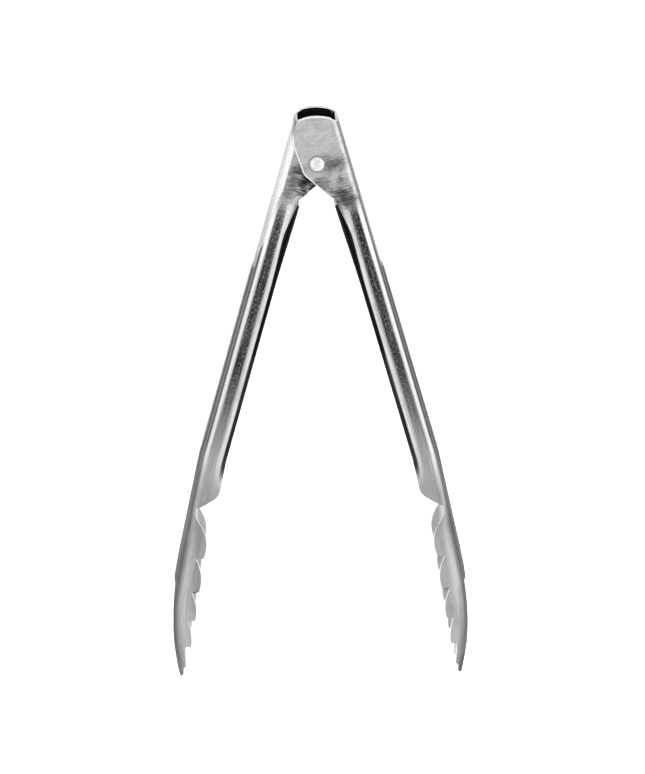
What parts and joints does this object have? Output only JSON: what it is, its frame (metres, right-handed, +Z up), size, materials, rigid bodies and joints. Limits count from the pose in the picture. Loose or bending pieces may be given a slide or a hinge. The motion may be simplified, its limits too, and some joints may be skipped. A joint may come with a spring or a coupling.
{
  "type": "spring loaded kitchen tongs",
  "caption": "Stainless-steel scalloped kitchen tongs: two nested channel arms on one rivet, held open by a torsion spring between their ears.",
  "frame": {"origin": "middle of the bottom of the whole object as it lies on its side, at rest with the arms open", "axes": "+Z up along the rivet's axis, +Y towards the hinge end, +X towards the outer arm"},
  "size_m": [0.1188, 0.233, 0.026],
  "materials": {
    "arm_steel": "brushed stainless sheet, polished bends",
    "rivet_steel": "polished steel",
    "washer_steel": "bright stainless",
    "sleeve_steel": "rolled steel, dull",
    "spring_steel": "drawn spring wire"
  },
  "bodies": {
    "outer_side": {"outer_arm": "arm_steel", "pivot_rivet": "rivet_steel", "front_washer": "washer_steel", "back_washer": "washer_steel", "spacer_sleeve": "sleeve_steel", "torsion_spring": "spring_steel"},
    "inner_side": {"inner_arm": "arm_steel"}
  },
  "joints": [
    {"name": "arm_pivot", "type": "hinge", "parent": "outer_side", "child": "inner_side", "pos_m": [0, 0.09748, 0.013], "axis": [0, 0, 1], "range_deg": [0, 29], "stiffness_Nm_per_rad": 0.6, "springref_deg": -34.38, "deforming": ["torsion_spring"]}
  ]
}
